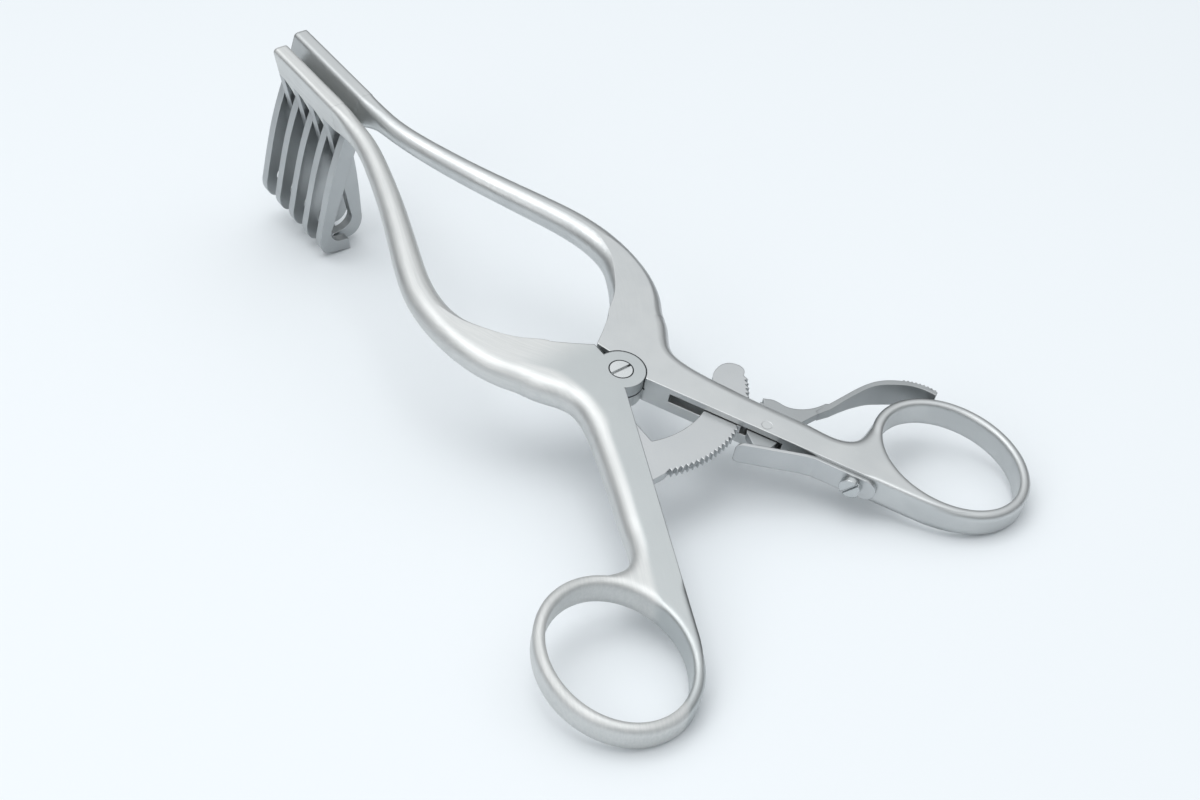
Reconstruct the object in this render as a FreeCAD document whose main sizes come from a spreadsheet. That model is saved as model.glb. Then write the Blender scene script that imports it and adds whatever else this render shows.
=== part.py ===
import FreeCAD, Part
import math
import os

# Rake retractor: two halves on a lap joint, two rakes that cross and interleave,
# a toothed bar through a slot, a release lever and a leaf spring.
# The flat top of the handles is z = 0, the pivot is the origin, the rakes lie towards +x
# and the left half lies on the side of +y.  Millimetres.

os.makedirs("parts", exist_ok=True)
V = FreeCAD.Vector
doc = FreeCAD.newDocument("rake_retractor")

SIZES = {
    "thickness": 6.6,
    "lap_gap": 0.05,
    "running_gap": 0.06,
    "fixed_gap": 0.01,
    "boss_radius": 5.46,
    "handle_angle": 26.3,
    "boss_gap": 0.1,
    "hole_long": 15.84,
    "hole_short": 13.21,
    "ring_near": 40.82,
    "ring_aside": 46.03,
    "ring_band": 2.4,
    "bar_depth": 8.2,
    "prong_thick": 2.3,
    "prong_pitch": 6.8,
    "right_prong_start": 107.3,
    "left_prong_start": 110.7,
    "screw_head_radius": 2.63,
    "screw_head_depth": 1.7,
    "screw_shank_radius": 1.8,
    "plate_top": 1.68,
    "plate_thick": 1.92,
    "tooth_tip_radius": 28.5,
    "tooth_depth": 0.85,
    "tooth_step": 2.7,
    "bar_inner_radius": 19.7,
    "lever_swing": 22.0,
    "lever_pin_radius": 1.1,
    "pin_from_teeth": 5.0,
    "lever_pin_out": 2.2,
    "spring_thick": 0.9,
    "spring_top": 0.7,
    "spring_height": 5.4,
    "spring_screw_along": 54.7,
    "spring_beyond_screw": 5.3,
    "spring_screw_radius": 2.35,
}


def fill_sheet():
    sheet = doc.addObject("Spreadsheet::Sheet", "sizes")
    for row, (alias, value) in enumerate(SIZES.items(), start=1):
        sheet.set("A%d" % row, alias)
        sheet.set("B%d" % row, str(value))
        sheet.setAlias("B%d" % row, alias)
    doc.recompute()


def size(name):
    return SIZES[name]


def bind(obj, prop, formula):
    obj.setExpression(prop, formula)


def handle_point(side, along, out, z=0.0):
    """Point given along a handle's inner edge from the pivot and outwards from that edge."""
    a = math.radians(size("handle_angle"))
    x = -along * math.cos(a) + out * math.sin(a)
    y = side * (along * math.sin(a) + out * math.cos(a))
    return V(x, y, z)


def polar_point(radius, angle, z=0.0):
    """Point at an angle from -x, counted towards the right handle."""
    a = math.radians(angle)
    return V(-radius * math.cos(a), -radius * math.sin(a), z)


def spline(points):
    curve = Part.BSplineCurve()
    curve.interpolate(points)
    return curve


def straight(points):
    return [Part.LineSegment(p, q) for p, q in zip(points, points[1:])]


def outline(name, curves, level=0.0):
    """Free sketch in a level plane, made of a closed chain of curves."""
    sketch = doc.addObject("Sketcher::SketchObject", name)
    sketch.addGeometry(curves, False)
    sketch.Placement = FreeCAD.Placement(V(0, 0, level), FreeCAD.Rotation())
    return sketch


def raised(name, sketch, height):
    """Solid from an outline, upwards by a height given as a formula."""
    solid = doc.addObject("Part::Extrusion", name)
    solid.Base = sketch
    solid.DirMode = "Custom"
    solid.Dir = V(0, 0, 1)
    solid.Solid = True
    bind(solid, "LengthFwd", height)
    return solid


def rod(name, radius, height, place):
    body = doc.addObject("Part::Cylinder", name)
    bind(body, "Radius", radius)
    bind(body, "Height", height)
    body.Placement = place
    return body


def at(x, y, z, rotation=None):
    return FreeCAD.Placement(V(x, y, z), rotation or FreeCAD.Rotation())


def joined(name, parts):
    solid = doc.addObject("Part::MultiFuse", name)
    solid.Shapes = parts
    solid.Refine = True
    return solid


def cut(name, base, tool):
    solid = doc.addObject("Part::Cut", name)
    solid.Base = base
    solid.Tool = tool
    solid.Refine = True
    return solid


def rounded(name, base, pick):
    """Rounds the edges that pick gives a radius for."""
    doc.recompute()
    edges = []
    for index, edge in enumerate(base.Shape.Edges, start=1):
        radius = pick(edge)
        if radius:
            edges.append((index, radius, radius))
    solid = doc.addObject("Part::Fillet", name)
    solid.Base = base
    solid.Edges = edges
    doc.recompute()
    return solid


def level_of(edge):
    box = edge.BoundBox
    if box.ZLength > 0.01:
        return None
    return box.ZMin


def handle_plate(side, tag):
    """Handle, joint and shoulder in one plan: straight inner edge, curved outer edge, cut across at the shoulder."""
    thick = size("thickness")
    inner = [V(14.6, side * 8.25), V(11.5, side * 4.1), V(8.9, side * 0.35)]
    notch = V(5.3, side * (1.3 if side < 0 else 0.5))
    start = handle_point(side, 5.9, 0.35)
    fade_on_handle = [(68.0, 0.35), (72.0, 0.45), (75.0, 0.9), (78.0, 1.8), (80.5, 3.05)]
    fade = [handle_point(side, a, b) for a, b in fade_on_handle]
    inside = [handle_point(side, 78.0, 9.0), handle_point(side, 66.0, 22.0)]
    outer_on_handle = [(54.3, 21.5), (53.0, 17.0), (52.5, 13.0), (51.4, 10.2), (48.6, 8.6), (43.0, 8.6)]
    outer_on_handle += [(34.0, 8.9), (25.0, 9.3), (17.0, 9.9), (11.0, 10.9), (7.4, 12.5)]
    outer = [handle_point(side, a, b) for a, b in outer_on_handle]
    outer += [V(3.3, side * 16.9), V(8.0, side * 19.7)]
    curves = [spline(inner), Part.LineSegment(inner[-1], notch), Part.LineSegment(notch, V(0, side * 2.2))]
    curves += [Part.LineSegment(V(0, side * 2.2), start), Part.LineSegment(start, fade[0]), spline(fade)]
    curves += straight([fade[-1]] + inside + [outer[0]])
    curves += [spline(outer), Part.LineSegment(outer[-1], inner[0])]
    base = raised(tag + "_plate", outline(tag + "_plan", curves, -thick), "sizes.thickness")

    def pick(edge):
        z = level_of(edge)
        if z is None or edge.Length < 60 or edge.Curve.TypeId == "Part::GeomLine":
            return 0
        return 2.9 if z > -1 else 2.2
    return rounded(tag + "_plate_round", base, pick)


def ring_disc(side, tag, name, extra, level, height):
    """Elliptic disc about the centre of a finger ring."""
    ellipse = doc.addObject("Part::Ellipse", tag + "_" + name + "_line")
    bind(ellipse, "MajorRadius", "sizes.hole_long + " + extra)
    bind(ellipse, "MinorRadius", "sizes.hole_short + " + extra)
    turn = FreeCAD.Rotation(V(0, 0, 1), -7.7 * side)
    middle = V(-size("ring_near") - size("hole_long"), side * size("ring_aside"), level)
    ellipse.Placement = FreeCAD.Placement(middle, turn)
    return raised(tag + "_" + name, ellipse, height)


def rounded_corner(corner, before, after, radius):
    """Arc that rounds the corner between two neighbours, as its start, middle and end."""
    to_before = (before - corner).normalize()
    to_after = (after - corner).normalize()
    half_angle = to_before.getAngle(to_after) / 2
    middle_line = (to_before + to_after).normalize()
    centre = corner + middle_line * (radius / math.sin(half_angle))
    reach = radius / math.tan(half_angle)
    return corner + to_before * reach, centre - middle_line * radius, corner + to_after * reach


def arm_section(side, name, station):
    """Four-sided section with rounded corners, upright on the line from its outer to its inner point."""
    outer_x, outer_y, inner_x, inner_y, top, bottom, lean, radii = station
    outer = V(outer_x, side * outer_y, 0)
    inner = V(inner_x, side * inner_y, 0)
    wide = (inner - outer).Length
    corners = [V(0, top), V(wide, top), V(wide + lean, bottom), V(lean, bottom)]
    arcs = []
    for k in range(4):
        arcs.append(rounded_corner(corners[k], corners[k - 1], corners[(k + 1) % 4], radii[k]))
    curves = []
    for k in range(4):
        start, middle, end = arcs[k]
        curves.append(Part.Arc(start, middle, end))
        curves.append(Part.LineSegment(end, arcs[(k + 1) % 4][0]))
    sketch = doc.addObject("Sketcher::SketchObject", name)
    sketch.addGeometry(curves, False)
    across = (inner - outer).normalize()
    turn = FreeCAD.Rotation(across, V(0, 0, 1), across.cross(V(0, 0, 1)), "XYZ")
    sketch.Placement = FreeCAD.Placement(outer, turn)
    return sketch


def arm(side, tag):
    """Forged arm from the shoulder to the bar: a loft of rounded sections, crowned before its top is ground."""
    stations = [
        (7.975030, 19.743319, 14.624970, 8.206681, 0.05, -6.65, 0, (2.95, 0.05, 0.05, 2.25)),
        (12.6, 22.5, 18.3, 12.15, 0.12, -6.67, 0, (3.0, 0.5, 0.5, 2.5)),
        (17.5, 25.0, 22.0, 15.3, 0.20, -6.7, 0, (3.1, 1.3, 1.3, 2.8)),
        (23.0, 26.6, 25.8, 17.5, 0.25, -6.7, 0, (3.25, 2.1, 2.1, 3.0)),
        (28.9, 27.4, 29.9, 19.3, 0.20, -6.7, 0, (3.3, 2.8, 2.8, 3.2)),
        (34.8, 27.5, 34.2, 19.9, 0.05, -6.65, 0, (3.25, 3.2, 3.2, 3.25)),
        (45.0, 25.85, 43.0, 18.95, -0.15, -6.6, 0, (3.15, 3.15, 3.15, 3.15)),
        (56.3, 21.5, 53.7, 15.3, -0.2, -6.4, 0, (3.0, 3.0, 3.0, 3.0)),
        (71.6, 14.8, 69.4, 9.2, -0.2, -6.0, 0, (2.8, 2.8, 2.8, 2.8)),
        (84.8, 9.9, 83.2, 4.66, -0.2, -5.6, 0, (2.55, 2.55, 2.55, 2.55)),
        (95.4, 7.1, 94.6, 2.15, -0.15, -5.35, 0, (2.3, 2.3, 2.3, 2.3)),
        (100.0, 6.6, 99.7, 2.05, -0.1, -5.9, 0.3, (1.9, 1.9, 1.8, 1.8)),
        (103.6, 6.42, 103.6, 2.08, -0.06, -7.1, 1.2, (1.45, 1.45, 1.1, 1.1)),
        (106.6, 6.35, 106.6, 2.15, -0.05, -8.15, 1.98, (1.08, 1.08, 0.2, 0.2)),
    ]
    sections = []
    for index, station in enumerate(stations):
        sections.append(arm_section(side, "%s_arm_section_%d" % (tag, index), station))
    loft = doc.addObject("Part::Loft", tag + "_arm")
    loft.Sections = sections
    loft.Solid = True
    loft.Ruled = False
    return loft


def web(side, name, x):
    """Concave web under the bar, from one prong's back face up to the foot of the next gap."""
    lean = math.atan2(2.0, size("bar_depth"))
    gap = size("prong_pitch") - size("prong_thick")
    hollow = spline([V(gap, -0.2), V(0.66 * gap, -0.8), V(0.3 * gap, -1.9), V(0, -3.6)])
    curves = straight([V(0, -3.6), V(0, 1.2), V(gap, 1.2), V(gap, -0.2)]) + [hollow]
    profile = doc.addObject("Sketcher::SketchObject", name + "_profile")
    profile.addGeometry(curves, False)
    up = V(0, side * math.sin(lean), math.cos(lean))
    turn = FreeCAD.Rotation(V(1, 0, 0), up, V(1, 0, 0).cross(up), "XYZ")
    spot = V(x, side * 4.35, -size("bar_depth"))
    profile.Placement = FreeCAD.Placement(spot, turn)
    body = doc.addObject("Part::Extrusion", name)
    body.Base = profile
    body.DirMode = "Custom"
    body.Dir = V(0, -side, 0)
    body.LengthFwd = 2.0
    body.Solid = True
    return body


def rake_bar(side, tag, end):
    """Straight part of the bar that carries the prongs: a leaning four-sided section."""
    depth = size("bar_depth")
    lean = 2.0
    section = [V(0, side * 2.1, 0), V(0, side * 6.4, 0), V(0, side * (6.4 - lean), -depth), V(0, side * (2.1 - lean), -depth)]
    wire = Part.makePolygon(section + [section[0]])
    plan = doc.addObject("Part::Feature", tag + "_bar_section")
    plan.Shape = wire
    plan.Placement = at(106.6, 0, 0)
    bar = doc.addObject("Part::Extrusion", tag + "_bar")
    bar.Base = plan
    bar.DirMode = "Custom"
    bar.Dir = V(1, 0, 0)
    bar.LengthFwd = end - 106.6
    bar.Solid = True

    def pick(edge):
        box = edge.BoundBox
        if box.XLength > 10 and box.ZMin > -1:
            return 1.1
        return 0
    solid = rounded(tag + "_bar_round", bar, pick)
    first = size(tag + "_prong_start")
    count = round((end - size("prong_thick") - first) / size("prong_pitch"))
    webs = []
    for k in range(count):
        back = first + k * size("prong_pitch") + size("prong_thick")
        webs.append(web(side, "%s_web_%d" % (tag, k), back))
    return joined(tag + "_bar_webbed", [solid] + webs)


def half(side, tag, bar_end):
    """One half without its own bores: plate, ring, arm and bar; the lap is cut and filled."""
    thick = size("thickness")
    disc = ring_disc(side, tag, "ring_disc", "sizes.ring_band", -thick, "sizes.thickness")

    def pick(edge):
        z = level_of(edge)
        if z is None:
            return 0
        return 1.3 if z > -1 else 1.6
    disc = rounded(tag + "_ring_round", disc, pick)
    boss = rod(tag + "_boss", "sizes.boss_radius", "sizes.thickness", at(0, 0, -thick))
    parts = [handle_plate(side, tag), boss, disc, arm(side, tag), rake_bar(side, tag, bar_end)]
    body = joined(tag + "_blank", parts)
    grinder = doc.addObject("Part::Box", tag + "_grinder")
    grinder.Length = 90
    grinder.Width = 100
    grinder.Height = 3
    grinder.Placement = at(-40, -50, 0)
    body = cut(tag + "_ground", body, grinder)
    hole = ring_disc(side, tag, "hole", "0", -thick - 1, "sizes.thickness + 2")
    body = cut(tag + "_with_hole", body, hole)
    lap = thick / 2
    other_low = -thick - 1 if side > 0 else -lap - size("lap_gap") / 2
    recess = rod(tag + "_recess", "sizes.boss_radius + sizes.boss_gap",
                 "sizes.thickness / 2 + 1 + sizes.lap_gap / 2", at(0, 0, other_low))
    return cut(tag + "_lapped", body, recess)


def bore(name, body, radius, low, height, x=0.0, y=0.0):
    return cut(name, body, rod(name + "_tool", radius, height, at(x, y, low)))


def slot_tool(side, tag, points, gap):
    """Level slot in a handle, from an outline given along and out of its inner edge."""
    level = -size("plate_top") - size("plate_thick") - gap
    corners = [handle_point(side, a, b) for a, b in points]
    plan = outline(tag + "_slot_plan", straight(corners + [corners[0]]), level)
    return raised(tag + "_slot", plan, "sizes.plate_thick + %g" % (2 * gap))


def finger_edges(edge):
    """Both rims of a finger ring's hole."""
    if level_of(edge) is None or not edge.isClosed() or edge.BoundBox.XLength < 20:
        return 0
    return 0.7


def left_half():
    body = half(1, "left", size("left_prong_start") + 3 * size("prong_pitch") + size("prong_thick"))
    body = bore("left_screw_bore", body, "sizes.screw_shank_radius + sizes.running_gap", -20, "40 mm")
    body = bore("left_head_bore", body, "sizes.screw_head_radius + sizes.running_gap",
                -size("screw_head_depth") - size("running_gap"), "10 mm")
    tongue = [(13.5, -3.0), (13.5, 4.4), (30.5, 4.4), (30.5, -3.0)]
    body = cut("left_slotted", body, slot_tool(1, "left", tongue, size("fixed_gap")))
    return rounded("left_half", body, finger_edges)


def right_half():
    body = half(-1, "right", size("right_prong_start") + 4 * size("prong_pitch") + size("prong_thick"))
    body = bore("right_screw_bore", body, "sizes.screw_shank_radius", -20, "40 mm")
    window = [(11.7, -4.0), (11.7, 16.0), (pin_along() + 11.5, 16.0), (pin_along() + 8.0, 8.0)]
    window += [(pin_along() + 4.6, 1.5), (pin_along() + 4.5, -4.0)]
    body = cut("right_slotted", body, slot_tool(-1, "right", window, 0.24))
    pin = handle_point(-1, pin_along(), size("lever_pin_out"))
    body = bore("right_pin_bore", body, "sizes.lever_pin_radius", -20, "40 mm", pin.x, pin.y)
    tap = rod("right_tap", "1.25 mm", "7 mm", screw_place(size("spring_screw_along"), -1.0, 0.0))
    body = cut("right_tapped", body, tap)
    return rounded("right_half", body, finger_edges)


def pin_along():
    """The lever turns behind the tips of the toothed bar."""
    return size("tooth_tip_radius") + size("pin_from_teeth")


def screw_place(along, out, shift):
    """Place of a part whose axis runs outwards from the right handle's inner edge."""
    a = math.radians(size("handle_angle"))
    outwards = V(math.sin(a), -math.cos(a), 0)
    back = V(-math.cos(a), -math.sin(a), 0)
    turn = FreeCAD.Rotation(V(0, 0, 1), back.negative(), outwards, "ZXY")
    spot = handle_point(-1, along, out, -size("spring_top") - size("spring_height") / 2 + shift)
    return FreeCAD.Placement(spot, turn)


def prong(side, label, x):
    """Hooked prong: a leaning blade that runs out into a foot, cut from plate."""
    top = -size("bar_depth")
    own = spline([V(4.4, top), V(1.85, -18.2), V(-0.9, -29.2), V(-3.9, -41.2)])
    hook = spline([V(-3.9, -41.2), V(-4.1, -43.6), V(-2.6, -45.6), V(-0.6, -46.2)])
    toe = straight([V(-0.6, -46.2), V(1.2, -46.5), V(1.9, -50.2)])
    sole = straight([V(1.9, -50.2), V(-3.6, -49.4)])
    heel = spline([V(-3.6, -49.4), V(-6.0, -48.4), V(-7.2, -46.2), V(-7.3, -42.5)])
    far = spline([V(-7.3, -42.5), V(-6.5, -36.5), V(-5.6, -30.5), V(-4.4, -24.0), V(-2.2, -15.5), V(0.1, top)])
    across = straight([V(0.1, top), V(4.4, top)])
    body = doc.addObject("PartDesign::Body", label)
    sketch = body.newObject("Sketcher::SketchObject", label + "_profile")
    plane = [f for f in body.Origin.OriginFeatures if f.Role == "YZ_Plane"][0]
    sketch.AttachmentSupport = [(plane, "")]
    sketch.MapMode = "FlatFace"
    sketch.AttachmentOffset = at(0, 0, x)
    curves = [own, hook] + toe + sole + [heel, far] + across
    if side < 0:
        curves = [mirrored(c) for c in curves]
    sketch.addGeometry(curves, False)
    doc.recompute()
    pad = body.newObject("PartDesign::Pad", label + "_pad")
    pad.Profile = sketch
    bind(pad, "Length", "sizes.prong_thick")
    doc.recompute()
    body.Tip = pad
    return body


def mirrored(curve):
    """The same curve on the other side of the sketch's upright axis."""
    if curve.TypeId == "Part::GeomLineSegment":
        p, q = curve.StartPoint, curve.EndPoint
        return Part.LineSegment(V(-p.x, p.y), V(-q.x, q.y))
    copy = curve.copy()
    for index, pole in enumerate(curve.getPoles(), start=1):
        copy.setPole(index, V(-pole.x, pole.y, 0))
    return copy


def pivot_screw():
    head = rod("pivot_head", "sizes.screw_head_radius", "sizes.screw_head_depth", at(0, 0, -size("screw_head_depth")))
    shank = rod("pivot_shank", "sizes.screw_shank_radius", "sizes.thickness", at(0, 0, -size("thickness")))
    groove = doc.addObject("Part::Box", "pivot_groove")
    groove.Length = 8
    groove.Width = 0.55
    groove.Height = 2
    turn = FreeCAD.Rotation(V(0, 0, 1), -90.0)
    groove.Placement = FreeCAD.Placement(turn.multVec(V(-4, -0.275, 0)) + V(0, 0, -0.7), turn)
    return cut("pivot_screw", joined("pivot_screw_blank", [head, shank]), groove)


def saw_line(first, count, radius_shift, angle_shift):
    """Corner points of fine slanted teeth: a steep rise, then a ramp down."""
    tip = size("tooth_tip_radius") + radius_shift
    root = tip - size("tooth_depth")
    step = size("tooth_step")
    points = []
    for k in range(count):
        angle = first + k * step + angle_shift
        points.append(polar_point(root, angle))
        points.append(polar_point(tip, angle + 0.25))
    points.append(polar_point(root, first + count * step + angle_shift))
    return points


def ratchet_bar():
    """Curved plate about the pivot; its tongue sits in the left handle."""
    level = -size("plate_top") - size("plate_thick")
    low = size("bar_inner_radius")
    tip = size("tooth_tip_radius")
    first = -size("handle_angle") + 9.6
    teeth = saw_line(first, 28, 0.0, 0.0)
    last = first + 28 * size("tooth_step")
    tongue = [handle_point(1, 30.3, 4.38), handle_point(1, 13.7, 4.38)]
    inner_start = polar_point(low, -19.0)
    inner_end = polar_point(low + 0.9, 57.0)
    inner_arc = Part.Arc(inner_start, polar_point(low + 0.1, 19.0), inner_end)
    nose = spline([inner_end, polar_point(low + 2.4, 64.5), polar_point(25.2, last + 8.6),
                   polar_point(tip - 0.6, last + 5.2), teeth[-1]])
    root_line = [teeth[0], polar_point(tip + 0.2, first - 3.2), handle_point(1, 30.3, 0.35), tongue[0]]
    curves = straight(root_line) + straight(tongue) + straight([tongue[1], handle_point(1, 13.7, 0.0), inner_start])
    curves += [inner_arc, nose] + straight(teeth)
    return raised("ratchet_bar", outline("ratchet_plan", curves, level), "sizes.plate_thick")


def turned(point, centre, degrees):
    turn = FreeCAD.Rotation(V(0, 0, 1), degrees)
    return centre + turn.multVec(point - centre)


def release_lever():
    """Toothed catch with a round heel and a thumb tab that stands on edge."""
    level = -size("plate_top") - size("plate_thick")
    pin = handle_point(-1, pin_along(), size("lever_pin_out"))
    swing = size("lever_swing")
    first = -size("handle_angle") + 9.6
    step = size("tooth_step")
    start = first + round((size("handle_angle") + 11.7 - first) / step) * step
    teeth = [turned(p, pin, -swing) for p in saw_line(start, 3, 0.4, -1.0)]
    brow = turned(polar_point(size("tooth_tip_radius") + 0.75, start - 2.4), pin, -swing)

    def spot(along, out):
        return handle_point(-1, along - 33.5 + pin_along(), out)

    def heel_point(degrees):
        a = math.radians(degrees)
        return spot(33.5 + 5.18 * math.cos(a), size("lever_pin_out") + 5.18 * math.sin(a))
    heel = Part.Arc(heel_point(-100), heel_point(-80), heel_point(-60))
    front = straight([heel_point(-100), spot(30.3, -0.6), spot(29.5, 1.6), brow, teeth[0]])
    tail = turned(polar_point(size("tooth_tip_radius") + 0.6, start + 3 * step - 0.1), pin, -swing)
    crown = spline([tail, spot(31.9, 11.6), spot(34.7, 11.3), spot(37.6, 12.1), spot(40.4, 14.4), spot(42.3, 17.4)])
    back = spline([spot(43.5, 16.6), spot(41.6, 12.9), spot(39.9, 9.6), spot(37.9, 4.4), spot(37.2, 1.0), heel_point(-60)])
    curves = [heel] + front + straight(teeth + [tail]) + [crown] + straight([spot(42.3, 17.4), spot(43.5, 16.6)]) + [back]
    plate = raised("lever_plate", outline("lever_plan", curves, level), "sizes.plate_thick")
    outer_line = [(41.0, 13.6), (42.6, 16.9), (44.1, 19.7), (45.7, 22.6), (47.3, 25.2), (49.2, 27.5), (51.8, 29.6)]
    outer_line += [(54.8, 31.3), (57.8, 32.3), (60.5, 32.6), (62.9, 32.3)]
    outer = [spot(a, b) for a, b in outer_line]
    inner_line = [(62.8, 31.3), (60.4, 31.5), (57.9, 31.2), (55.2, 30.1), (52.4, 28.4), (50.0, 26.5), (48.3, 24.3)]
    inner_line += [(46.8, 21.9), (45.3, 19.1), (43.9, 16.3), (42.4, 13.2)]
    inner = [spot(a, b) for a, b in inner_line]
    curves = [spline(outer)] + straight([outer[-1], inner[0]]) + [spline(inner)] + straight([inner[-1], outer[0]])
    tab = raised("lever_tab", outline("lever_tab_plan", curves, -6.3), "6.5 mm")
    blank = joined("lever_blank", [plate, tab])
    hole = rod("lever_hole", "sizes.lever_pin_radius + sizes.running_gap", "40 mm", at(pin.x, pin.y, -20))
    return cut("release_lever", blank, hole)


def lever_pin():
    pin = handle_point(-1, pin_along(), size("lever_pin_out"))
    return rod("lever_pin", "sizes.lever_pin_radius", "sizes.thickness", at(pin.x, pin.y, -size("thickness")))


def leaf_spring():
    """Flat spring, screwed down at its back end, its front end standing off the handle."""
    t = size("spring_thick")
    top = -size("spring_top")
    low = top - size("spring_height")

    back = size("spring_screw_along") + size("spring_beyond_screw")
    bend = pin_along() + 12.5

    def spot(along, out):
        return handle_point(-1, along, out)
    curves = straight([spot(back, 0.34), spot(bend, 0.34)])
    curves += straight([spot(bend, 0.34), spot(bend - 2.0, -0.12), spot(bend - 16.0, -4.9), spot(bend - 16.25, -4.95 - t)])
    curves += straight([spot(bend - 16.25, -4.95 - t), spot(bend - 2.3, -0.2 - t), spot(bend, 0.34 - t), spot(back, 0.34 - t)])
    curves += straight([spot(back, 0.34 - t), spot(back, 0.34)])
    blank = raised("spring_blank", outline("spring_plan", curves, low), "sizes.spring_height")
    hole = rod("spring_hole", "1.3 mm", "4 mm", screw_place(size("spring_screw_along"), -2.0, 0.0))
    blank = cut("spring_drilled", blank, hole)

    def pick(edge):
        box = edge.BoundBox
        if box.ZLength > 0.01 or edge.Length > 1.2:
            return 0
        middle = box.Center
        if (middle - spot(back, 0).add(V(0, 0, middle.z))).Length < 2.0:
            return 2.5
        if (middle - spot(bend - 16.1, -5.2).add(V(0, 0, middle.z))).Length < 2.0:
            return 1.2
        return 0
    return rounded("leaf_spring", blank, pick)


def spring_screw():
    """Cheese-head screw that holds the leaf spring."""
    along = size("spring_screw_along")
    face = 0.34 - size("spring_thick")
    head = rod("spring_head", "sizes.spring_screw_radius", "1.5 mm", screw_place(along, face - 1.5, 0.0))
    shank = rod("spring_shank", "1.25 mm", "6.5 mm", screw_place(along, face - 0.5, 0.0))
    groove = doc.addObject("Part::Box", "spring_groove")
    groove.Length = 8
    groove.Width = 0.6
    groove.Height = 2
    place = screw_place(along, face - 1.5, 0.0)
    tilt = FreeCAD.Placement(V(0, 0, 0), FreeCAD.Rotation(V(0, 0, 1), 35.0))
    groove.Placement = place.multiply(tilt).multiply(at(-4, -0.3, -1.3))
    return cut("spring_screw", joined("spring_screw_blank", [head, shank]), groove)


def resting_place():
    """The part rests on the back of its rings and on the foot of the innermost prong."""
    rim = 1.6
    a = size("hole_long") + size("ring_band")
    b = size("hole_short") + size("ring_band")
    turn = math.radians(7.7)
    middle = -size("ring_near") - size("hole_long")
    back = middle - math.hypot(a * math.cos(turn), b * math.sin(turn)) + rim
    height = -size("thickness") + rim
    foot = size("right_prong_start")
    sole = -50.2
    tilt = 0.2
    for _ in range(30):
        tilt = math.atan2((height - sole) * math.cos(tilt) - rim, (foot - back) * math.cos(tilt))
    lift = -(foot * math.sin(tilt) + sole * math.cos(tilt))
    return tilt, lift


fill_sheet()
nodes = {"left_half": left_half(), "right_half": right_half()}
for number in range(4):
    name = "left_prong_%d" % (number + 1)
    nodes[name] = prong(1, name, size("left_prong_start") + (3 - number) * size("prong_pitch"))
for number in range(5):
    name = "right_prong_%d" % (number + 1)
    nodes[name] = prong(-1, name, size("right_prong_start") + (4 - number) * size("prong_pitch"))
nodes["pivot_screw"] = pivot_screw()
nodes["ratchet_bar"] = ratchet_bar()
nodes["release_lever"] = release_lever()
nodes["lever_pin"] = lever_pin()
nodes["leaf_spring"] = leaf_spring()
nodes["spring_screw"] = spring_screw()
doc.recompute()

tilt, lift = resting_place()
rotation = FreeCAD.Rotation(V(0, 1, 0), -math.degrees(tilt))
whole = Part.makeCompound([node.Shape for node in nodes.values()])
whole.Placement = FreeCAD.Placement(V(0, 0, lift), rotation)
box = whole.optimalBoundingBox(False)
shift = V(-box.Center.x, -box.Center.y, lift)
for name, node in nodes.items():
    node.Label = name
    node.Placement = FreeCAD.Placement(shift, rotation).multiply(node.Placement)
doc.recompute()
print("rest tilt", math.degrees(tilt), "shift", shift, "box", box)

for item in doc.Objects:
    state = list(item.State)
    if "Invalid" in state or "Error" in state:
        raise RuntimeError(item.Name + " failed: " + str(state))
for name, node in nodes.items():
    shape = node.Shape
    if shape.isNull() or not shape.isValid():
        raise RuntimeError(name + " has no valid shape")
    print(name, "solids", len(shape.Solids), "volume", round(shape.Volume, 2))
    shape.exportStep("parts/" + name + ".step")
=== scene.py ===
import math

import bpy
import numpy as np
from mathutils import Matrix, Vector


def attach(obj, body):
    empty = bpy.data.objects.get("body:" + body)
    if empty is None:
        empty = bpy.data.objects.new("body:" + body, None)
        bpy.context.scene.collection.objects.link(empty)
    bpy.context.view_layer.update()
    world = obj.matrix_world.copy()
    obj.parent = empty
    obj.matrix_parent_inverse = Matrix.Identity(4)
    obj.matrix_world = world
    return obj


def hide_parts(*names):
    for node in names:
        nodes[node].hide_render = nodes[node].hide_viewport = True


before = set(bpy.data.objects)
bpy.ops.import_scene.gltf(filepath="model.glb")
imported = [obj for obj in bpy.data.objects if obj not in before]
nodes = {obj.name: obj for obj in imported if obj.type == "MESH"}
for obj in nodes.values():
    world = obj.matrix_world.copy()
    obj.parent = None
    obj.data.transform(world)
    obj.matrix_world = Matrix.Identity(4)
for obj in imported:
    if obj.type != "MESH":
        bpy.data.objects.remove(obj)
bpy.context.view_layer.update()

# The table is one sheet of matt bluish white paper.  It lies flat, and gives a nearly
# white ground that keeps the soft grey shadow of the instrument.


def linear(hex_colour):
    """sRGB hex to linear RGBA, by the standard's two-part curve."""
    channels = [int(hex_colour[i:i + 2], 16) / 255 for i in (1, 3, 5)]
    return [c / 12.92 if c <= 0.04045 else ((c + 0.055) / 1.055) ** 2.4 for c in channels] + [1.0]


def add_node(tree, kind, settings=None, links=None):
    """Adds one node; settings are its properties or the values of its inputs.

    links gives, for each input, the socket or the node that feeds it; a node feeds it by its first output.
    """
    node = tree.nodes.new(kind)
    for key, value in (settings or {}).items():
        if isinstance(key, int) or key in node.inputs:
            node.inputs[key].default_value = value
        else:
            setattr(node, key, value)
    for key, source in (links or {}).items():
        tree.links.new(source.outputs[0] if hasattr(source, "outputs") else source, node.inputs[key])
    return node


def empty_material(name):
    material = bpy.data.materials.new(name)
    material.use_nodes = True
    material.node_tree.nodes.clear()
    return material


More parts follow.
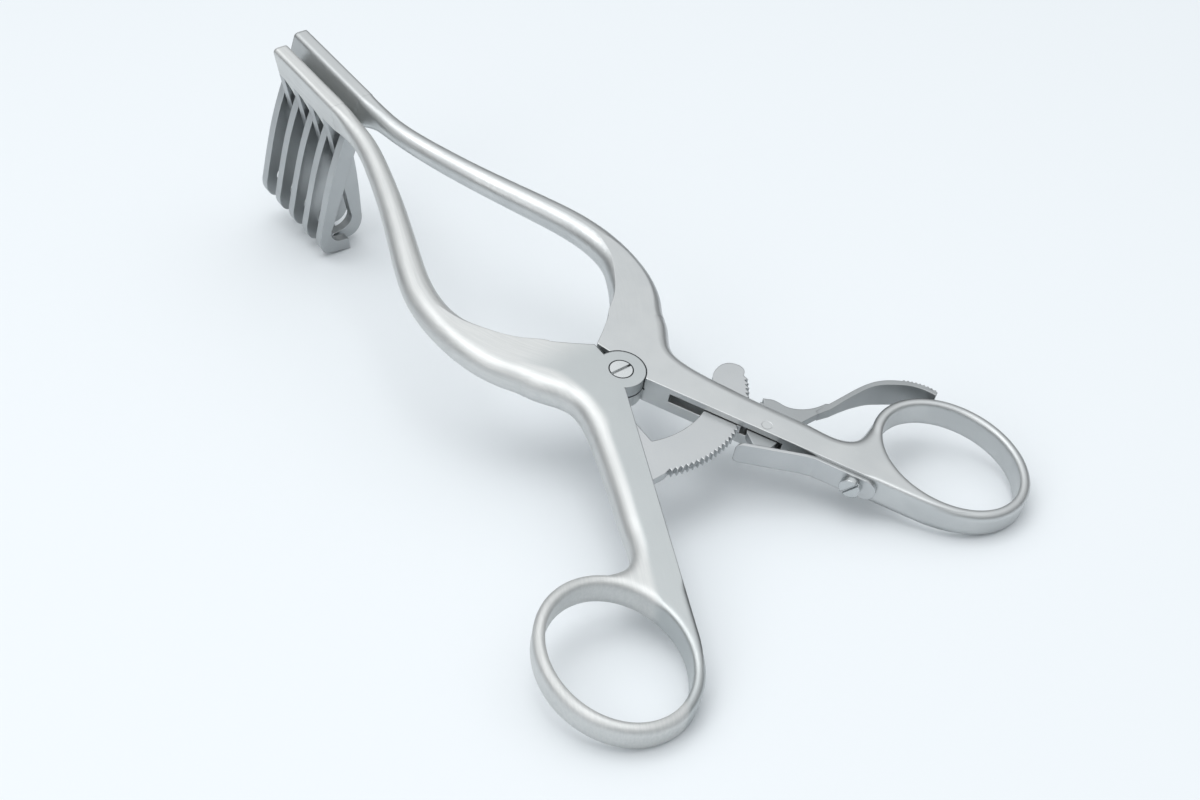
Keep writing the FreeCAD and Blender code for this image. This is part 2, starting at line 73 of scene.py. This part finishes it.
table_half = 3.0
table_mesh = bpy.data.meshes.new("table")
table_mesh.from_pydata([(-table_half, -table_half, 0), (table_half, -table_half, 0),
                        (table_half, table_half, 0), (-table_half, table_half, 0)], [], [(0, 1, 2, 3)])
table = bpy.data.objects.new("table", table_mesh)
bpy.context.scene.collection.objects.link(table)
paper = empty_material("matt bluish white paper")
matt = add_node(paper.node_tree, "ShaderNodeBsdfDiffuse", {"Color": linear("#EBEFF2")})
add_node(paper.node_tree, "ShaderNodeOutputMaterial", links={"Surface": matt.outputs["BSDF"]})
table_mesh.materials.append(paper)

# The light is that of a white tent: pale overhead, darker towards the horizon, with one
# broad softbox above and a weaker one at the left.  Metal needs that fall-off to show form.

world = bpy.data.worlds.new("white tent")
bpy.context.scene.world = world
world.use_nodes = True
tree = world.node_tree
tree.nodes.clear()
direction = add_node(tree, "ShaderNodeTexCoord")
parts = add_node(tree, "ShaderNodeSeparateXYZ", links={0: direction.outputs["Generated"]})
horizon, overhead = 0.16, 1.22
height = add_node(tree, "ShaderNodeMapRange",
                  {"interpolation_type": "SMOOTHSTEP", "From Min": 0.05, "From Max": 1.0,
                   "To Min": horizon, "To Max": overhead}, {"Value": parts.outputs["Z"]})
tent = add_node(tree, "ShaderNodeBackground", {"Color": linear("#F7FAFC")}, {"Strength": height})
add_node(tree, "ShaderNodeOutputWorld", links={"Surface": tent.outputs["Background"]})


def softbox(name, side, place, aim, power):
    """A square area lamp at place, turned so that its beam runs from place to aim."""
    data = bpy.data.lights.new(name, "AREA")
    data.shape = "SQUARE"
    data.size = side
    data.energy = power
    lamp = bpy.data.objects.new(name, data)
    lamp.location = place
    lamp.rotation_euler = (Vector(aim) - Vector(place)).to_track_quat("-Z", "Y").to_euler()
    bpy.context.scene.collection.objects.link(lamp)


softbox("softbox_over", 0.7, (0.05, 0.12, 0.95), (0, 0, 0), 2.3)
softbox("softbox_left", 0.5, (-0.25, 0.85, 0.5), (0, 0, 0.02), 1.0)

bpy.context.scene.view_settings.view_transform = "Standard"
camera_data = bpy.data.cameras.new("camera")
camera_data.lens = 50.0
camera_data.sensor_width = 36.0
camera_data.clip_start = 0.01
camera_data.clip_end = 20.0
camera = bpy.data.objects.new("camera", camera_data)
camera.location = (-0.26266, 0.18851, 0.22937)
camera.rotation_euler = (0.94281, 0.00616, -2.25359)
bpy.context.scene.collection.objects.link(camera)
bpy.context.scene.camera = camera

# The two forged halves: martensitic stainless steel, drop forged, ground flat on top and
# glass-bead blasted.  The blast leaves a fine satin grain, handling has softened each edge,
# and the belt that dressed the arms leaves faint streaks along them.

tilt = math.radians(13.5619)
pivot_place = (-0.036128, 0.0, 0.023639)
ring_middle = (-56.66, 46.03)
ring_edge_mm = 1.3
bar_edge_mm = 0.6
seam_level_mm = 3.3
grain_mm, grain_depth_mm = 0.35, 0.012
cloud_mm = 9.0
streak_mm = 0.5
joint_soft_mm = 0.04
belt_roughness = 0.12
smooth_step = {"interpolation_type": "SMOOTHSTEP"}
# the middle line of a half, as x and distance from the plane of symmetry, in millimetres
line_start, line_end, line_reach = -90, 150, 50
middle_line = [(line_start, 50), (-51.6, 31.1), (-33.9, 21.8), (-15, 13.2), (-4, 9.4), (4, 10.2),
               (11, 14.0), (18, 18.5), (25, 21.5), (32, 23.6), (40, 23.4), (50, 20.6), (62, 15.5),
               (75, 10.5), (90, 5.8), (100, 4.4), (line_end, 4.3)]


def instrument_place(tree):
    """Object coordinates turned so that z is square to the ground tops and the pivot is the origin."""
    place = add_node(tree, "ShaderNodeTexCoord").outputs["Object"]
    return add_node(tree, "ShaderNodeMapping",
                    {"vector_type": "TEXTURE", "Location": pivot_place, "Rotation": (0, -tilt, 0)},
                    {"Vector": place})


def from_middle_line(tree, x, y):
    """Distance outwards from a half's middle line, in metres: |y| less the line's own |y| at x."""
    share = add_node(tree, "ShaderNodeMapRange", {"From Min": line_start / 1000, "From Max": line_end / 1000},
                     {"Value": x})
    curve = add_node(tree, "ShaderNodeFloatCurve", links={"Value": share})
    points = curve.mapping.curves[0].points
    for number, (along, aside) in enumerate(middle_line):
        spot = ((along - line_start) / (line_end - line_start), aside / line_reach)
        if number in (0, len(middle_line) - 1):
            points[-1 if number else 0].location = spot
        else:
            points.new(*spot)
    curve.mapping.update()
    line_y = add_node(tree, "ShaderNodeMath", {"operation": "MULTIPLY", 1: line_reach / 1000}, {0: curve})
    own_y = add_node(tree, "ShaderNodeMath", {"operation": "ABSOLUTE"}, {0: y})
    return add_node(tree, "ShaderNodeMath", {"operation": "SUBTRACT"}, {0: own_y, 1: line_y})


def steel(name, colour, roughness, edge_mm=0.3, streak_depth_mm=0.004, painted_shade_inside=(), painted_shade_outside=(),
          crown_mm=0.0, shade_depth=0.12, highlight_colour=None):
    """Steel with a blasted grain, cloudy gloss, softened edges, streaks along the forging, and dark joint lines.

    The two lists of radii, in millimetres about the pivot, give the circles within or beyond which
    shade is painted on the edge of a joint, as a dark line where its narrow gap lies.  crown_mm is how far
    the belt rounded the outer edge of an arm, and the brighter colour is a painted highlight along the arm
    and its outer side, broken by the belt streaks.
    """
    material = empty_material(name)
    tree = material.node_tree
    place = instrument_place(tree)
    axes = add_node(tree, "ShaderNodeSeparateXYZ", links={0: place})
    x, y, z = axes.outputs["X"], axes.outputs["Y"], axes.outputs["Z"]
    outwards = from_middle_line(tree, x, y)

    # the blast: a fine grain, and a gloss that varies like clouds
    grain = add_node(tree, "ShaderNodeTexNoise", {"Scale": 1000 / grain_mm, "Detail": 2.0}, {"Vector": place})
    cloud = add_node(tree, "ShaderNodeTexNoise", {"Scale": 1000 / cloud_mm, "Detail": 4.0}, {"Vector": place})
    gloss = add_node(tree, "ShaderNodeMapRange",
                     {**smooth_step, "From Min": 0.3, "From Max": 0.7,
                      "To Min": roughness - 0.05, "To Max": roughness + 0.05}, {"Value": cloud})

    # the belt: noise drawn out along the arms, full on them and weak behind the boss
    slow_x = add_node(tree, "ShaderNodeMath", {"operation": "MULTIPLY", 1: 0.05}, {0: x})
    slow_z = add_node(tree, "ShaderNodeMath", {"operation": "MULTIPLY", 1: 0.5}, {0: z})
    drawn_out = add_node(tree, "ShaderNodeCombineXYZ", links={0: slow_x, 1: outwards, 2: slow_z})
    lines = add_node(tree, "ShaderNodeTexNoise",
                     {"Scale": 1000 / streak_mm, "Detail": 3.0, "Roughness": 0.6}, {"Vector": drawn_out})
    ahead = add_node(tree, "ShaderNodeMapRange", {**smooth_step, "From Min": 0.004, "From Max": 0.016},
                     {"Value": x})
    behind = add_node(tree, "ShaderNodeMapRange",
                      {**smooth_step, "From Min": -0.012, "From Max": -0.006, "To Min": 0.25, "To Max": 0.0},
                      {"Value": x})
    on_arm = add_node(tree, "ShaderNodeMath", {"operation": "ADD"}, {0: ahead, 1: behind})
    both_ways = add_node(tree, "ShaderNodeMath", {"operation": "SUBTRACT", 1: 0.5}, {0: lines})
    belt_lines = add_node(tree, "ShaderNodeMath", {"operation": "MULTIPLY"}, {0: both_ways, 1: on_arm})

    # the tone: streaks and clouds draw the colour towards a darker grey
    streak_shade = add_node(tree, "ShaderNodeMapRange",
                            {**smooth_step, "From Min": -0.2, "From Max": 0.2, "To Max": shade_depth},
                            {"Value": belt_lines})
    cloud_shade = add_node(tree, "ShaderNodeMapRange",
                           {**smooth_step, "From Min": 0.3, "From Max": 0.7, "To Max": 0.25}, {"Value": cloud})
    shade = add_node(tree, "ShaderNodeMath", {"operation": "ADD"}, {0: streak_shade, 1: cloud_shade})
    tone = add_node(tree, "ShaderNodeMix", {"data_type": "RGBA", 6: linear(colour), 7: linear("#B4B8BA")},
                    {0: shade}).outputs[2]
    # painted highlight: a brighter tone on the arm past the shoulder and on the outer side, broken by the belt
    # streaks; the belt also makes that region rougher
    if highlight_colour:
        past_shoulder = add_node(tree, "ShaderNodeMapRange",
                                 {**smooth_step, "From Min": 0.006, "From Max": 0.016}, {"Value": x})
        outer_side = add_node(tree, "ShaderNodeMapRange",
                              {**smooth_step, "From Min": 0.0005, "From Max": 0.0025}, {"Value": outwards})
        belted_and_highlit = add_node(tree, "ShaderNodeMath", {"operation": "MAXIMUM"}, {0: past_shoulder, 1: outer_side})
        streaky = add_node(tree, "ShaderNodeMapRange",
                           {**smooth_step, "From Min": 0.35, "From Max": 0.65, "To Min": 0.75}, {"Value": lines})
        painted_highlight = add_node(tree, "ShaderNodeMath", {"operation": "MULTIPLY"}, {0: belted_and_highlit, 1: streaky})
        tone = add_node(tree, "ShaderNodeMix", {"data_type": "RGBA", 7: linear(highlight_colour)},
                        {0: painted_highlight, 6: tone}).outputs[2]
        coarser = add_node(tree, "ShaderNodeMath", {"operation": "MULTIPLY", 1: belt_roughness}, {0: belted_and_highlit})
        gloss = add_node(tree, "ShaderNodeMath", {"operation": "ADD"}, {0: gloss, 1: coarser})

    # the joint: painted shade, as dark lines on the ground top about the pivot and at the seam round the boss,
    # where the narrow gaps lie
    level_place = add_node(tree, "ShaderNodeCombineXYZ", links={0: x, 1: y})
    radius = add_node(tree, "ShaderNodeVectorMath", {"operation": "LENGTH"}, {0: level_place}).outputs["Value"]
    at_top = add_node(tree, "ShaderNodeMapRange", {**smooth_step, "From Min": -0.0006, "From Max": -0.0003},
                      {"Value": z})
    from_seam = add_node(tree, "ShaderNodeMath", {"operation": "ADD", 1: seam_level_mm / 1000}, {0: z})
    seam_distance = add_node(tree, "ShaderNodeMath", {"operation": "ABSOLUTE"}, {0: from_seam})
    at_seam = add_node(tree, "ShaderNodeMapRange",
                       {**smooth_step, "From Min": 0.00018, "From Max": 0.00032, "To Min": 1.0, "To Max": 0.0},
                       {"Value": seam_distance})
    near_boss = add_node(tree, "ShaderNodeMapRange",
                         {**smooth_step, "From Min": 0.0058, "From Max": 0.0062, "To Min": 1.0, "To Max": 0.0},
                         {"Value": radius})
    joint = add_node(tree, "ShaderNodeMath", {"operation": "MULTIPLY"}, {0: at_seam, 1: near_boss})
    for limits, within, beyond in ((painted_shade_inside, 1.0, 0.0), (painted_shade_outside, 0.0, 1.0)):
        for limit in limits:
            edge = add_node(tree, "ShaderNodeMapRange",
                            {**smooth_step, "From Min": (limit - joint_soft_mm) / 1000,
                             "From Max": (limit + joint_soft_mm) / 1000, "To Min": within, "To Max": beyond},
                            {"Value": radius})
            top_edge = add_node(tree, "ShaderNodeMath", {"operation": "MULTIPLY"}, {0: edge, 1: at_top})
            joint = add_node(tree, "ShaderNodeMath", {"operation": "MAXIMUM"}, {0: joint, 1: top_edge})
    # painted shade: the joint lines take a dark grey where the gaps lie
    tone = add_node(tree, "ShaderNodeMix", {"data_type": "RGBA", 7: linear("#4A4D50")},
                    {0: joint, 6: tone}).outputs[2]

    # the edges: softened all round, and widest on the belted side, the rings and the bars
    soft_edge = add_node(tree, "ShaderNodeBevel", {"samples": 8, "Radius": edge_mm / 1000})
    if crown_mm:
        outer_edge = add_node(tree, "ShaderNodeMapRange",
                              {**smooth_step, "From Min": -0.001, "From Max": 0.002}, {"Value": outwards})
        before_bar = add_node(tree, "ShaderNodeMapRange",
                              {**smooth_step, "From Min": 0.030, "From Max": 0.050, "To Min": 1.0, "To Max": 0.0},
                              {"Value": x})
        belt = add_node(tree, "ShaderNodeMath", {"operation": "MULTIPLY"}, {0: outer_edge, 1: before_bar})
        ring_x = add_node(tree, "ShaderNodeMath", {"operation": "ADD", 1: -ring_middle[0] / 1000}, {0: x})
        own_y = add_node(tree, "ShaderNodeMath", {"operation": "ABSOLUTE"}, {0: y})
        ring_y = add_node(tree, "ShaderNodeMath", {"operation": "SUBTRACT", 1: ring_middle[1] / 1000}, {0: own_y})
        ring_place = add_node(tree, "ShaderNodeCombineXYZ", links={0: ring_x, 1: ring_y})
        ring_radius = add_node(tree, "ShaderNodeVectorMath", {"operation": "LENGTH"}, {0: ring_place})
        ring = add_node(tree, "ShaderNodeMapRange",
                        {**smooth_step, "From Min": 0.019, "From Max": 0.022,
                         "To Min": ring_edge_mm / 1000, "To Max": 0.0}, {"Value": ring_radius.outputs["Value"]})
        bar = add_node(tree, "ShaderNodeMapRange",
                       {**smooth_step, "From Min": 0.100, "From Max": 0.108, "To Max": bar_edge_mm / 1000},
                       {"Value": x})
        crown = add_node(tree, "ShaderNodeMath", {"operation": "MULTIPLY", 1: crown_mm / 1000}, {0: belt})
        wide = add_node(tree, "ShaderNodeMath", {"operation": "MAXIMUM"}, {0: bar, 1: crown})
        wide = add_node(tree, "ShaderNodeMath", {"operation": "MAXIMUM"}, {0: wide, 1: ring})
        wide = add_node(tree, "ShaderNodeMath", {"operation": "ADD", 1: edge_mm / 1000}, {0: wide})
        tree.links.new(wide.outputs[0], soft_edge.inputs["Radius"])
    bump = add_node(tree, "ShaderNodeBump", {"Strength": 1.0, "Distance": grain_depth_mm / 1000},
                    {"Height": grain, "Normal": soft_edge})
    scratch = add_node(tree, "ShaderNodeBump", {"Strength": 1.0, "Distance": streak_depth_mm / 1000},
                       {"Height": belt_lines, "Normal": bump})
    metal = add_node(tree, "ShaderNodeBsdfPrincipled", {"Metallic": 1.0},
                     {"Base Color": tone, "Roughness": gloss, "Normal": scratch})
    add_node(tree, "ShaderNodeOutputMaterial", links={"Surface": metal})
    return material


def dress(names, material):
    for name in names:
        nodes[name].data.materials.clear()
        nodes[name].data.materials.append(material)


# The halves get painted shade on the joint lines about the pivot, and the near half a painted highlight along its
# arm and outer side.
dress(["left_half"], steel("stainless steel, forged and bead blasted, near", "#BFC3C3", 0.38,
                           painted_shade_inside=[2.80], crown_mm=3.0, shade_depth=0.3, highlight_colour="#D6D7D6"))
dress(["right_half"], steel("stainless steel, forged and bead blasted, far", "#CCCECE", 0.38,
                            painted_shade_inside=[2.80, 5.70], crown_mm=0.4))

# The prongs: blades cut from plate, welded under the bars and blasted with them.

blade = steel("stainless steel plate, blasted", "#B8BBBC", 0.40, streak_depth_mm=0.002)
dress([name for name in nodes if "_prong_" in name], blade)

# The toothed bar: rolled plate with milled teeth, brushed along its length.

rolled = steel("stainless steel plate, rolled and brushed", "#C4C6C7", 0.32)
dress(["ratchet_bar", "leaf_spring"], rolled)

# The release lever: plate with three teeth, forged out and twisted into an upright thumb tab.
# The tab grows out of the neck, and its end has file-cut ridges across it for the thumb.

handle_angle = math.radians(26.3)
tab_steel = steel("stainless steel plate, bent and blasted", "#A6A9AA", 0.36)


def from_right_handle(along, out, z):
    """Millimetres along the right handle's inner edge, out of it and up, as metres at rest."""
    x = -along * math.cos(handle_angle) + out * math.sin(handle_angle)
    y = -(along * math.sin(handle_angle) + out * math.cos(handle_angle))
    return np.stack([(x * math.cos(tilt) - z * math.sin(tilt)) / 1000 + pivot_place[0], y / 1000 + 0 * x,
                     (x * math.sin(tilt) + z * math.cos(tilt)) / 1000 + pivot_place[2]], axis=-1)


def to_right_handle(place):
    """The reverse of from_right_handle: along, out and up in millimetres."""
    x, y, z = (place - np.array(pivot_place)).T * 1000
    level = x * math.cos(tilt) + z * math.sin(tilt)
    up = -x * math.sin(tilt) + z * math.cos(tilt)
    along = -level * math.cos(handle_angle) - y * math.sin(handle_angle)
    out = level * math.sin(handle_angle) - y * math.cos(handle_angle)
    return along, out, up


def piece(name, points, faces, material, body, smooth_degrees=30):
    """A mesh object at the origin, smooth but for edges sharper than smooth_degrees, riding on a body."""
    mesh = bpy.data.meshes.new(name)
    mesh.from_pydata(points.tolist(), [], faces.tolist())
    mesh.shade_smooth()
    mesh.set_sharp_from_angle(angle=math.radians(smooth_degrees))
    mesh.materials.append(material)
    thing = bpy.data.objects.new(name, mesh)
    bpy.context.scene.collection.objects.link(thing)
    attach(thing, body)
    return thing


def merged_copy(node):
    """Corner points and triangles of a CAD node, with the corners that share a place made one."""
    mesh = node.data
    places = np.empty(len(mesh.vertices) * 3)
    mesh.vertices.foreach_get("co", places)
    mesh.calc_loop_triangles()
    corners = np.empty(len(mesh.loop_triangles) * 3, dtype=np.int64)
    mesh.loop_triangles.foreach_get("vertices", corners)
    single, same = np.unique(np.round(places.reshape(-1, 3), 7), axis=0, return_inverse=True)
    triangles = same.reshape(-1)[corners].reshape(-1, 3)
    first, second, third = triangles.T
    whole = (first != second) & (second != third) & (third != first)
    return single, triangles[whole]


lever_points, lever_faces = merged_copy(nodes["release_lever"])
along, out, up = to_right_handle(lever_points)
plate_middle, above_plate = -2.64, 1.2
tab_begins, neck_ends, full_height = 40.0, 41.0, 52.0
neck_share = 0.30
growth = np.clip((along - neck_ends) / (full_height - neck_ends), 0, 1)
height_share = neck_share + (1 - neck_share) * growth * growth * (3 - 2 * growth)
on_tab = (np.abs(up - plate_middle) > above_plate) & (along > tab_begins)
up = np.where(on_tab, plate_middle + (up - plate_middle) * height_share, up)
# the two corners where the tab meets the neck are drawn apart, so that the neck flows into the tab
corner_reach = 0.15
outer_corner = (np.abs(along - 42.3) < corner_reach) & (np.abs(out - 17.4) < corner_reach)
back_corner = (np.abs(along - 42.4) < corner_reach) & (np.abs(out - 13.2) < corner_reach)
along = along + np.where(outer_corner, 0.65, 0) - np.where(back_corner, 0.6, 0)
lever = piece("release_lever_forged", from_right_handle(along, out, up), lever_faces, tab_steel, "lever")
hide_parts("release_lever")

ridge_pitch, ridge_height, ridge_sunk, ridge_root = 0.9, 0.42, 0.03, 0.12
tab_end = np.array([(54.8, 31.3), (56.3, 31.9), (57.8, 32.3), (59.2, 32.55), (60.5, 32.6), (61.8, 32.5),
                    (62.7, 32.33)])
lengths = np.concatenate([[0], np.cumsum(np.hypot(*np.diff(tab_end, axis=0).T))])
run = np.linspace(0, lengths[-1], 200)
line = np.stack([np.interp(run, lengths, tab_end[:, 0]), np.interp(run, lengths, tab_end[:, 1])], axis=-1)
heading = np.gradient(line, axis=0)
heading /= np.linalg.norm(heading, axis=1)[:, None]
outward = np.stack([-heading[:, 1], heading[:, 0]], axis=-1)
saw = 1 - np.abs(2 * ((run / ridge_pitch) % 1) - 1)
crest = line + outward * (ridge_height * saw - ridge_sunk)[:, None]
root = line - outward * ridge_root
rim = np.stack([crest, root], axis=1).reshape(-1, 2)
levels = np.array([-6.25, 0.2])
grid = from_right_handle(np.repeat(rim[:, 0], 2), np.repeat(rim[:, 1], 2), np.tile(levels, len(rim)))
step = np.arange(len(run) - 1)
crest_low, crest_top = 4 * step, 4 * step + 1
root_low, root_top = 4 * step + 2, 4 * step + 3
ridge_faces = np.concatenate([
    np.stack([crest_low, crest_top, crest_top + 4, crest_low + 4], axis=1),
    np.stack([root_top, root_low, root_low + 4, root_top + 4], axis=1),
    np.stack([crest_top, root_top, root_top + 4, crest_top + 4], axis=1),
    np.stack([root_low, crest_low, crest_low + 4, root_low + 4], axis=1),
    np.array([[0, 2, 3, 1], [4 * len(run) - 4, 4 * len(run) - 3, 4 * len(run) - 1, 4 * len(run) - 2]])])
piece("tab_thumb_ridges", grid, ridge_faces, tab_steel, "lever", 20)

# The turned parts: a flush pivot screw, the spring's cheese-head screw and the lever's pin,
# which is peened and ground flush so that it hardly shows.

# The pivot screw gets painted shade round the edge of its head, where the gap lies.
dress(["pivot_screw"], steel("stainless steel, turned, pivot screw", "#D8DADA", 0.27, painted_shade_outside=[2.50]))
dress(["spring_screw"], steel("stainless steel, turned, cheese head", "#C6C9CA", 0.25, edge_mm=0.4))
dress(["lever_pin"], steel("stainless steel, peened and ground flush", "#CCCECE", 0.38, edge_mm=0.02))
